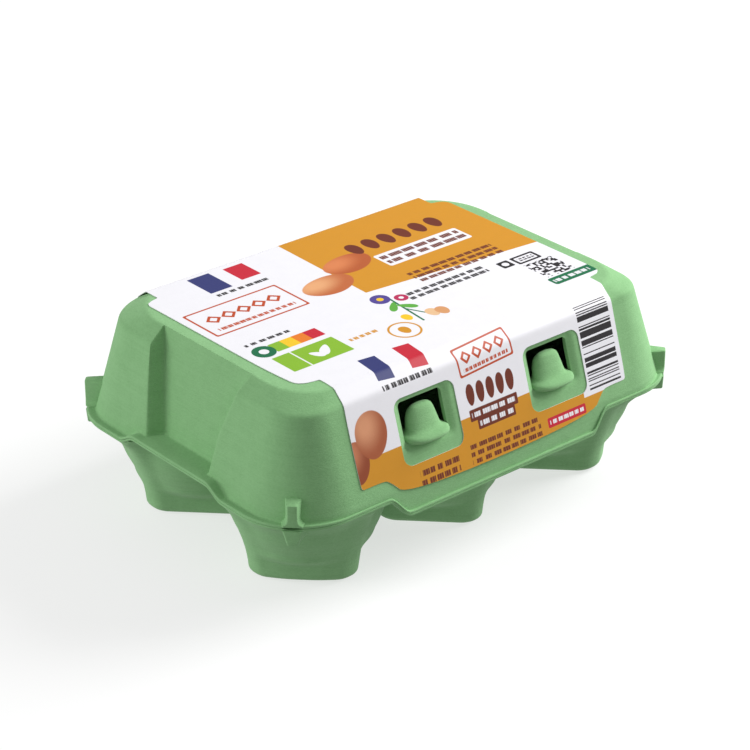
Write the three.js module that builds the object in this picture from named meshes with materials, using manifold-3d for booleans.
// Six-cup egg carton of moulded pulp, shut, with a printed paper label glued over its lid.
// Millimetres, +Z up. X runs along the row of three cups and -Y is the front, where the
// lid is held by two buttons. The six feet stand on z = 0.

import * as THREE from "three";
import { mergeVertices } from "three/addons/utils/BufferGeometryUtils.js";
import Module from "manifold-3d";

const wasm = await Module();
wasm.setup();

// ---------------------------------------------------------------- driving dimensions

const cupPitch = 48;
const cartonHeight = 60.6;

// Lid wall, measured where it meets the rim, and how fast it leans in going up.
const wallFoot = 30;
const wallHalfLength = 75.5;
const wallFront = 53.6;
const wallBack = 52.6;
const wallCorner = 20;
const frontCornerDraft = 0.31;
const backCornerDraft = 0.14;
const endDraft = 0.278;
const frontDraft = 0.325;
const backDraft = 0.19;
const apronDraft = 0.15;

// The wall rolls over into the flat top on one large radius.
const shoulderRadius = 10.6;
const wallTilt = THREE.MathUtils.degToRad(16);
const shoulderTuck = 0.85;

// Upright panel set back between the two rounded columns of each end.
const recessDepth = 5.2;
const recessSill = 1.6;
const recessEdges = [[11.8, 15, 20.3, 24], [14.2, 16.6, 20.3, 24], [19, 20.7, 23.4, 25.2]];
const recessMiddle = [0.4, 1.9, 2.1];
const recessBelly = 0.45;
const creaseHeight = 55.4;
const creaseStep = 0.6;
const creaseFade = 3;
const bellyHeight = 43.8;
const sillFoot = 0.7;

// Rim: two thin lips, lid over tray, that rise at the ends and drop at the front.
const rimHeight = 28.8;
const rimRise = 3;
const rimDrop = 5.9;
const riseSpan = [17, 24];
const dropSpan = [35.4, 42.6];
const lipHalfLength = 78.6;
const lipHalfWidth = 54.3;
const lipCorner = 21;
const lipFrontBulge = 1.2;
const lipThickness = 0.8;
const lipRound = 0.35;
const lipReturn = 2;
const seamGap = 0.3;
const seamDepth = 2.4;
const hingeBulge = 1.2;
const hingeRadius = 1.9;
const hingeHalfLength = 50;

// Egg cups: a round bowl standing on a square foot that is turned on the diagonal.
// Each row is [height, foot's half side, bowl radius, bowl radius towards an outer corner].
const cupProfile = [
  [0, 14, 0, 0],
  [0.7, 15.2, 0, 0],
  [2.4, 15.8, 0, 0],
  [5.5, 16.2, 14.8, 16.1],
  [8.2, 16.4, 18.7, 20.2],
  [11.5, 16.9, 20.3, 21.5],
  [15.7, 17.9, 22, 23.5],
  [21, 19.8, 23.5, 25.8],
  [24.5, 21.8, 24, 28.8],
  [28.5, 23, 24.5, 32.4],
];
const footCorner = 5.4;
const outerReach = 1.8;
const outerToeReach = 1;
const toeHeight = 1;
const outerSpread = [0.55, 1];
const outerFacing = [0.7, 1];
const trayInset = 0.8;
const trayDraft = 0.24;
const trayCeiling = 24.5;

// Stacking lugs on the four corners, and the tray ribs below them.
const lugHeight = 6.5;
const backLugRise = 1;
const lugDepth = 9;
const lugTopWidth = 2.8;
const lugFootWidth = 4.6;
const lugSplay = 0.2;
const lugProud = 0.3;
const ribHeight = 5;
const slotWidth = 5.6;
const slotHeight = 1.1;

// Windows in the front of the lid, each with the tray's locking button in it.
const windowX = 24.3;
const windowWidth = 16.4;
const windowTop = 51.8;
const windowBottom = 41;
const windowCorner = 1.2;
const pocketDepth = 7.5;
const buttonWidth = 12.8;
const buttonTop = 50.6;
const buttonSetBack = 5;
const ledgeHeight = 41.8;
const ledgeReach = 1.6;
const ledgeThickness = 1.3;

// Paper label, glued to the top, down the front and a little way down the back.
const labelGap = 0.3;
const labelThickness = 0.3;
const labelTop = { halfLength: 58.4, front: 33.6, back: 36.5, corner: 3.5 };
const flapHalfWidth = 51.8;
const flapFlare = 2.7;
const flapFlareStart = 54;
const flapBottom = 27.7;
const flapShoulder = 33.9;
const backFlapBottom = 44;
const cutHalfWidth = 10.9;
const cutTop = 53.7;
const cutBottom = 34.8;
const cutCorner = 3.4;

const pulpGreen = new THREE.MeshStandardMaterial({ color: 0x84b27c, roughness: 0.95, metalness: 0 });
const paper = new THREE.MeshStandardMaterial({ color: 0xf1f0f6, roughness: 0.5, metalness: 0 });

// ---------------------------------------------------------------- solids from rings

/** Closed mesh merged on position alone, as a solid that can be joined and cut. */
function solidOf(geometry) {
  const bare = geometry.clone();
  bare.deleteAttribute("normal");
  bare.deleteAttribute("uv");
  const merged = mergeVertices(bare, 1e-4);
  const mesh = new wasm.Mesh({
    numProp: 3,
    vertProperties: new Float32Array(merged.attributes.position.array),
    triVerts: new Uint32Array(merged.index.array),
  });
  return new wasm.Manifold(mesh);
}

/** Skins rings of equal length, listed from the top down and counter-clockwise from above. */
function loft(rings, topCentre, bottomCentre) {
  const count = rings[0].length;
  const points = [...rings.flat(), topCentre, bottomCentre];
  const faces = [];
  for (let level = 0; level + 1 < rings.length; level += 1) {
    for (let step = 0; step < count; step += 1) {
      const next = (step + 1) % count;
      const upper = level * count;
      const lower = upper + count;
      faces.push(lower + step, lower + next, upper + next);
      faces.push(lower + step, upper + next, upper + step);
    }
  }
  const lastRing = (rings.length - 1) * count;
  for (let step = 0; step < count; step += 1) {
    const next = (step + 1) % count;
    faces.push(points.length - 2, step, next);
    faces.push(points.length - 1, lastRing + next, lastRing + step);
  }
  const geometry = new THREE.BufferGeometry();
  geometry.setAttribute("position", new THREE.Float32BufferAttribute(points.flat(), 3));
  geometry.setIndex(faces);
  return solidOf(geometry);
}

/** Mesh of a finished solid. */
function meshOf(solid, name, material) {
  const { vertProperties, triVerts } = solid.getMesh();
  const geometry = new THREE.BufferGeometry();
  geometry.setAttribute("position", new THREE.Float32BufferAttribute(vertProperties, 3));
  geometry.setIndex(Array.from(triVerts));
  geometry.computeVertexNormals();
  const mesh = new THREE.Mesh(geometry, material);
  mesh.name = name;
  return mesh;
}

/** Rounded rectangle from (left, low) to (right, high). */
function roundedRectangle(left, right, low, high, radius) {
  const shape = new THREE.Shape();
  shape.moveTo(left + radius, low);
  shape.lineTo(right - radius, low);
  shape.absarc(right - radius, low + radius, radius, -Math.PI / 2, 0, false);
  shape.lineTo(right, high - radius);
  shape.absarc(right - radius, high - radius, radius, 0, Math.PI / 2, false);
  shape.lineTo(left + radius, high);
  shape.absarc(left + radius, high - radius, radius, Math.PI / 2, Math.PI, false);
  shape.lineTo(left, low + radius);
  shape.absarc(left + radius, low + radius, radius, Math.PI, 1.5 * Math.PI, false);
  return shape;
}

/** Prism of a shape drawn in X and Z, running from y = from to y = to. */
function frontPrism(shape, from, to, curveSegments = 5) {
  const geometry = new THREE.ExtrudeGeometry(shape, { depth: to - from, bevelEnabled: false, curveSegments });
  geometry.rotateX(Math.PI / 2);
  geometry.translate(0, to, 0);
  return solidOf(geometry);
}

/** Prism of a shape drawn in X and Y, running up from z = from to z = to. */
function uprightPrism(shape, from, to, curveSegments = 5) {
  const geometry = new THREE.ExtrudeGeometry(shape, { depth: to - from, bevelEnabled: false, curveSegments });
  geometry.translate(0, 0, from);
  return solidOf(geometry);
}

// ---------------------------------------------------------------- lid outline

const mix = THREE.MathUtils.lerp;
const ramp = THREE.MathUtils.smoothstep;

/** The stations round the lid, counter-clockwise from above, starting at the front left. */
function walkRound() {
  const cornerSteps = 7;
  const frontHalf = [0, 13.3, 24.3, 31, 35.4, 37.2, 39, 40.8, 42.6, 46, 50];
  const backHalf = [0, 25, 50];
  const endHalf = [0, 7, "edge0", "edge1", "edge2", "edge3"];
  const bothWays = (half) => [...half.slice(1).reverse().map((at) => [at, -1]), ...half.map((at) => [at, 1])];
  const corner = (sideX, sideY, start) =>
    Array.from({ length: cornerSteps + 1 }, (_, step) => {
      return { kind: "corner", sideX, sideY, angle: start + (Math.PI / 2) * (step / cornerSteps) };
    });
  return [
    ...bothWays(frontHalf).map(([at, sign]) => ({ kind: "long", sideY: -1, x: at * sign })),
    ...corner(1, -1, -Math.PI / 2),
    ...bothWays(endHalf).map(([at, sign]) => ({ kind: "end", sideX: 1, at, sign })),
    ...corner(1, 1, 0),
    ...bothWays(backHalf).map(([at, sign]) => ({ kind: "long", sideY: 1, x: -at * sign })),
    ...corner(-1, 1, Math.PI / 2),
    ...bothWays(endHalf).map(([at, sign]) => ({ kind: "end", sideX: -1, at, sign: -sign })),
    ...corner(-1, -1, Math.PI),
  ];
}
const stations = walkRound();

/** Follows three values up the end wall: at its foot, at the columns' belly and at the top. */
function upTheWall([low, middle, high], z) {
  const up = THREE.MathUtils.clamp((z - wallFoot) / (cartonHeight - wallFoot), 0, 1);
  const fromLow = mix(low, middle, Math.min(up / recessBelly, 1));
  return mix(fromLow, high, Math.max((up - recessBelly) / (1 - recessBelly), 0));
}

/** Y of one of an end's stations at height z. */
function endOffset(station, z) {
  if (typeof station.at === "number") {
    return station.sign * station.at;
  }
  const edge = Number(station.at.slice(4));
  const middle = edge < 2 ? upTheWall(recessMiddle, z) : 0;
  return middle + station.sign * upTheWall(recessEdges.map((level) => level[edge]), z);
}

/** Point of a rounded rectangle at a station, grown outward by grow. */
function outlinePoint(station, z, section, grow) {
  const reach = station.sideY < 0 ? section.front : section.back;
  if (station.kind === "long") {
    return [station.x, station.sideY * (reach + grow)];
  }
  if (station.kind === "end") {
    return [station.sideX * (section.halfLength + grow), endOffset(station, z)];
  }
  const corner = station.sideY < 0 ? section.frontCorner : section.backCorner;
  const centreX = station.sideX * (section.halfLength - corner);
  const centreY = station.sideY * (reach - corner);
  const radius = corner + grow;
  return [centreX + radius * Math.cos(station.angle), centreY + radius * Math.sin(station.angle)];
}

/** Height of the lid's lip at a station: up at the ends, down in the middle of the front. */
function rimAt(station) {
  if (station.kind === "end") {
    return rimHeight + rimRise * (1 - ramp(Math.abs(endOffset(station, wallFoot)), ...riseSpan));
  }
  if (station.kind === "long" && station.sideY < 0) {
    return rimHeight - rimDrop * (1 - ramp(Math.abs(station.x), ...dropSpan));
  }
  return rimHeight;
}

/** Size of the lid wall's outline at height z. */
function wallSection(z) {
  const rise = z - wallFoot;
  const below = Math.min(rise, 0);
  const above = Math.max(rise, 0);
  return {
    halfLength: wallHalfLength - endDraft * rise,
    front: wallFront - apronDraft * below - frontDraft * above,
    back: wallBack - backDraft * rise,
    frontCorner: wallCorner - frontCornerDraft * above,
    backCorner: wallCorner - backCornerDraft * above,
  };
}

/** Size of the rim's outline, grown by grow. */
function lipOutline(station, grow) {
  const section = {
    halfLength: lipHalfLength,
    front: lipHalfWidth,
    back: lipHalfWidth,
    frontCorner: lipCorner,
    backCorner: lipCorner,
  };
  const dropped = (rimHeight - rimAt(station)) / rimDrop;
  const bulge = lipFrontBulge * Math.max(dropped, 0);
  return outlinePoint(station, wallFoot, section, grow + bulge);
}

/** How far the wall is set back at a station: 1 inside the end panel, 0 on the columns. */
function recessShare(station) {
  const inner = [0, 7, "edge0"];
  return station.kind === "end" && inner.includes(station.at) ? 1 : 0;
}

/** 1 on the four corner columns, 0 on the front, the back and the end panels. */
function columnShare(station) {
  if (station.kind === "corner") {
    return 1;
  }
  return station.kind === "end" && recessShare(station) === 0 ? 1 : 0;
}

/** Ring on the shoulder, where its normal stands slope above the horizontal. */
function shoulderRing(slope, grow) {
  const foot = cartonHeight - shoulderRadius * (1 - Math.sin(wallTilt));
  const inset = shoulderRadius * (Math.cos(wallTilt) - Math.cos(slope));
  const wall = wallSection(foot);
  const section = {
    halfLength: wall.halfLength - inset,
    front: wall.front - inset,
    back: wall.back - inset,
    frontCorner: wall.frontCorner - inset * shoulderTuck,
    backCorner: wall.backCorner - inset * shoulderTuck,
  };
  const z = cartonHeight - shoulderRadius * (1 - Math.sin(slope)) + grow * Math.sin(slope);
  return stations.map((station) => [...outlinePoint(station, z, section, grow * Math.cos(slope)), z]);
}

/** Ring on the lid wall; heightOf gives its height at each station. */
function wallRing(heightOf, grow, recess, crease) {
  return stations.map((station) => {
    const z = heightOf(station);
    const setBack = recess * recessDepth * recessShare(station) + crease * creaseStep * columnShare(station);
    return [...outlinePoint(station, z, wallSection(z), grow - setBack), z];
  });
}

/** Ring on the rim's outline at a height below the lid's lip. */
function lipRing(drop, grow) {
  return stations.map((station) => [...lipOutline(station, grow), rimAt(station) - drop]);
}

/** The lid's outer skin from the flat top down to just above the lip. */
function lidRings(grow) {
  const shoulderFoot = cartonHeight - shoulderRadius * (1 - Math.sin(wallTilt));
  const slopes = [90, 68, 50, 35].map(THREE.MathUtils.degToRad);
  return [
    ...slopes.map((slope) => shoulderRing(slope, grow)),
    wallRing(() => creaseHeight, grow - 0.3, 0.3, 0.8),
    wallRing(() => shoulderFoot, grow, 1, 1),
    wallRing(() => bellyHeight, grow, 1, 1),
    wallRing((station) => rimAt(station) + recessSill + creaseFade, grow, 1, 0.6),
    wallRing((station) => rimAt(station) + recessSill, grow, 1, 0),
    wallRing((station) => rimAt(station) + sillFoot, grow, 0.15, 0),
  ];
}

// ---------------------------------------------------------------- carton

/** Lid and both lips as one skin, closed below by the tray's ceiling. */
function lidAndRim() {
  const lipFoot = 2 * lipThickness + seamGap;
  const rings = [
    ...lidRings(0),
    lipRing(0, -lipRound),
    lipRing(lipRound, 0),
    lipRing(lipFoot - lipRound, 0),
    lipRing(lipFoot, -lipRound),
    lipRing(lipFoot, -lipReturn),
  ];
  return loft(rings, [0, 0, cartonHeight], [0, 0, trayCeiling]);
}

/** The gap between the two lips, open round the front and both ends and closed at the hinge. */
function seam() {
  const top = [0, 0, rimHeight - lipThickness];
  const bottom = [0, 0, rimHeight - lipThickness - seamGap];
  const band = (grow) => loft([lipRing(lipThickness, grow), lipRing(lipThickness + seamGap, grow)], top, bottom);
  const hinge = new THREE.BoxGeometry(2 * hingeHalfLength, 12, 20);
  hinge.translate(0, lipHalfWidth, rimHeight);
  return band(2).subtract(band(-seamDepth)).subtract(solidOf(hinge));
}

/** Rounded fold along the back, where the lid is hinged to the tray. */
function hingeFold() {
  const fold = new THREE.CapsuleGeometry(hingeRadius, 2 * hingeHalfLength, 4, 12);
  fold.rotateZ(Math.PI / 2);
  fold.translate(0, lipHalfWidth + hingeBulge - hingeRadius, rimHeight - lipThickness - seamGap / 2);
  return solidOf(fold);
}

/** Distance from a foot's centre to its outline: a rounded square with its sides on the diagonals. */
function footRadius(angle, side, corner) {
  const quarter = Math.PI / 2;
  const fromSide = Math.abs(((((angle % quarter) + quarter) % quarter) - quarter / 2));
  if (side * Math.tan(fromSide) <= side - corner) {
    return side / Math.cos(fromSide);
  }
  const fromCorner = quarter / 2 - fromSide;
  const centre = (side - corner) * Math.SQRT2;
  const across = centre * Math.sin(fromCorner);
  return centre * Math.cos(fromCorner) + Math.sqrt(corner * corner - across * across);
}

/** One egg cup, from its flat foot up to the rim; column is 0 for a cup in the middle. */
function eggCup(column, row) {
  const centreX = column * cupPitch;
  const centreY = row * (cupPitch / 2);
  const outward = Math.atan2(row, column);
  const steps = 32;
  const rings = [...cupProfile].reverse().map(([height, side, bowl, outerBowl]) => {
    return Array.from({ length: steps }, (_, step) => {
      const angle = (step / steps) * 2 * Math.PI;
      const outer = column === 0 ? 0 : ramp(Math.cos(angle - outward), ...outerSpread);
      const facing = column === 0 ? 0 : ramp(Math.cos(angle - outward), ...outerFacing);
      const reach = height < toeHeight ? outerToeReach : outerReach;
      const foot = footRadius(angle, side, footCorner) + facing * reach;
      const radius = Math.max(foot, mix(bowl, outerBowl, outer));
      return [centreX + radius * Math.cos(angle), centreY + radius * Math.sin(angle), height];
    });
  });
  const top = cupProfile[cupProfile.length - 1][0];
  return loft(rings, [centreX, centreY, top], [centreX, centreY, 0]);
}

/** The tray's outer bound: the lower lip's outline, leaning in towards the feet. */
function trayBound() {
  const drop = 1.5 * lipThickness + seamGap;
  const top = stations.map((station) => [...lipOutline(station, -trayInset), rimAt(station) - drop]);
  const foot = stations.map((station) => [...lipOutline(station, -trayInset - trayDraft * rimHeight), -1]);
  return loft([top, foot], [0, 0, trayCeiling + 3], [0, 0, -1]);
}

/** Places a solid made along +X at a corner of the rim, so that x = lipCorner is its edge. */
function atCorner(solid, sideX, sideY) {
  const turn = THREE.MathUtils.radToDeg(Math.atan2(sideY, sideX));
  const place = [sideX * (lipHalfLength - lipCorner), sideY * (lipHalfWidth - lipCorner), 0];
  return solid.rotate(0, 0, turn).translate(...place);
}

/** Stacking lug along +X: narrow at its top and outer face, wider at its foot and the wall. */
function lug(height) {
  const inner = lipCorner - lugDepth;
  const level = (width, outer, z) => {
    const wide = width / 2 + lugSplay * lugDepth;
    return [[outer, -width / 2, z], [outer, width / 2, z], [inner, wide, z], [inner, -wide, z]];
  };
  const top = rimHeight + height;
  const foot = rimHeight - lipThickness / 2 - lipRound / 2;
  const rings = [level(lugTopWidth, lipCorner + lugProud, top), level(lugFootWidth, lipCorner - 0.1, foot)];
  return loft(rings, [inner + 1, 0, top], [inner + 1, 0, foot]);
}

/** Upright box along +X from x = near to x = far. */
function spine(near, far, width, low, high) {
  const box = new THREE.BoxGeometry(far - near, width, high - low);
  box.translate((near + far) / 2, 0, (low + high) / 2);
  return solidOf(box);
}

/** Y of the front wall's face at height z. */
function frontFace(z) {
  return -wallSection(z).front;
}

/** Rounded opening cut into the front wall behind one window. */
function windowPocket(side) {
  const left = side * windowX - windowWidth / 2;
  const shape = roundedRectangle(left, left + windowWidth, windowBottom, windowTop, windowCorner);
  const face = frontFace(windowBottom);
  return frontPrism(shape, face - 2, frontFace(windowTop) + pocketDepth);
}

/** Locking button: round-topped, set back at the top and hooked out over the window's sill. */
function lockingButton(side) {
  const profile = new THREE.Shape();
  const back = frontFace(windowTop) + pocketDepth + 1;
  const ledgeFace = frontFace(ledgeHeight) - ledgeReach;
  const topFace = frontFace(buttonTop) + buttonSetBack;
  profile.moveTo(back, ledgeHeight - ledgeThickness);
  profile.lineTo(ledgeFace + 0.5, ledgeHeight - ledgeThickness);
  profile.lineTo(ledgeFace, ledgeHeight - 0.5);
  profile.lineTo(ledgeFace + 0.9, ledgeHeight + 0.7);
  profile.quadraticCurveTo(ledgeFace + 3, ledgeHeight + 5, topFace, buttonTop);
  profile.lineTo(back, buttonTop);
  const slab = new THREE.ExtrudeGeometry(profile, { depth: buttonWidth, bevelEnabled: false, curveSegments: 5 });
  slab.rotateX(Math.PI / 2);
  slab.rotateZ(Math.PI / 2);
  slab.translate(side * windowX - buttonWidth / 2, 0, 0);
  const half = buttonWidth / 2;
  const arch = new THREE.Shape();
  arch.moveTo(side * windowX - half, ledgeHeight - 3);
  arch.lineTo(side * windowX + half, ledgeHeight - 3);
  arch.absarc(side * windowX, buttonTop - half, half, 0, Math.PI, false);
  return solidOf(slab).intersect(frontPrism(arch, -80, -30, 8));
}

/** The whole moulding: lid, rim, hinge, tray, lugs, windows and buttons in one body. */
function carton() {
  let tray = null;
  for (const column of [-1, 0, 1]) {
    for (const row of [-1, 1]) {
      tray = tray ? tray.add(eggCup(column, row)) : eggCup(column, row);
    }
  }
  let body = lidAndRim().add(tray.intersect(trayBound())).add(hingeFold()).subtract(seam());
  const lipFoot = rimHeight - 2 * lipThickness - seamGap;
  const slotLow = rimHeight - lipThickness - (seamGap + slotHeight) / 2;
  const rib = spine(lipCorner - lugDepth, lipCorner - 0.5, lugFootWidth, lipFoot - ribHeight, lipFoot + 0.3);
  const slot = spine(lipCorner - seamDepth, lipCorner + 3, slotWidth, slotLow, slotLow + slotHeight);
  for (const sideX of [-1, 1]) {
    for (const sideY of [-1, 1]) {
      const height = sideY < 0 ? lugHeight : lugHeight + backLugRise;
      body = body.add(atCorner(lug(height), sideX, sideY)).add(atCorner(rib, sideX, sideY));
      body = body.subtract(atCorner(slot, sideX, sideY));
    }
  }
  for (const side of [-1, 1]) {
    body = body.subtract(windowPocket(side)).add(lockingButton(side));
  }
  return body;
}

// ---------------------------------------------------------------- label

/** Solid of the lid grown by grow, with no lips. */
function lidHull(grow) {
  return loft(lidRings(grow), [0, 0, cartonHeight + grow], [0, 0, 0]);
}

/** Outline of the front flap in X and Z: its lower edge steps up beside the rim's drop. */
function flapShape() {
  const [inner, outer] = dropSpan;
  const flapTop = cartonHeight + 1;
  const shape = new THREE.Shape();
  shape.moveTo(-inner, flapBottom);
  shape.lineTo(inner, flapBottom);
  shape.lineTo(outer, flapShoulder);
  shape.lineTo(flapHalfWidth, flapShoulder);
  shape.lineTo(flapHalfWidth, flapFlareStart);
  shape.quadraticCurveTo(flapHalfWidth, flapTop - 2, flapHalfWidth + flapFlare, flapTop);
  shape.lineTo(-flapHalfWidth - flapFlare, flapTop);
  shape.quadraticCurveTo(-flapHalfWidth, flapTop - 2, -flapHalfWidth, flapFlareStart);
  shape.lineTo(-flapHalfWidth, flapShoulder);
  shape.lineTo(-outer, flapShoulder);
  return shape;
}

/** Paper label as a thin skin over the lid, with a cut-out round each button. */
function label() {
  const { halfLength, front, back, corner } = labelTop;
  const topShape = roundedRectangle(-halfLength, halfLength, -front, back, corner);
  const backHalf = flapHalfWidth + flapFlare;
  const backShape = roundedRectangle(-backHalf, backHalf, backFlapBottom, cartonHeight + 4, corner);
  const outline = uprightPrism(topShape, cartonHeight - 4, cartonHeight + 3)
    .add(frontPrism(flapShape(), -70, -front + 6))
    .add(frontPrism(backShape, back - 6, 70));
  let skin = lidHull(labelGap + labelThickness).subtract(lidHull(labelGap)).intersect(outline);
  for (const side of [-1, 1]) {
    const left = side * windowX - cutHalfWidth;
    const shape = roundedRectangle(left, left + 2 * cutHalfWidth, cutBottom, cutTop, cutCorner);
    skin = skin.subtract(frontPrism(shape, -70, -30));
  }
  return skin;
}

const model = new THREE.Group();
model.add(meshOf(carton(), "carton", pulpGreen));
model.add(meshOf(label(), "label", paper));

export default model;
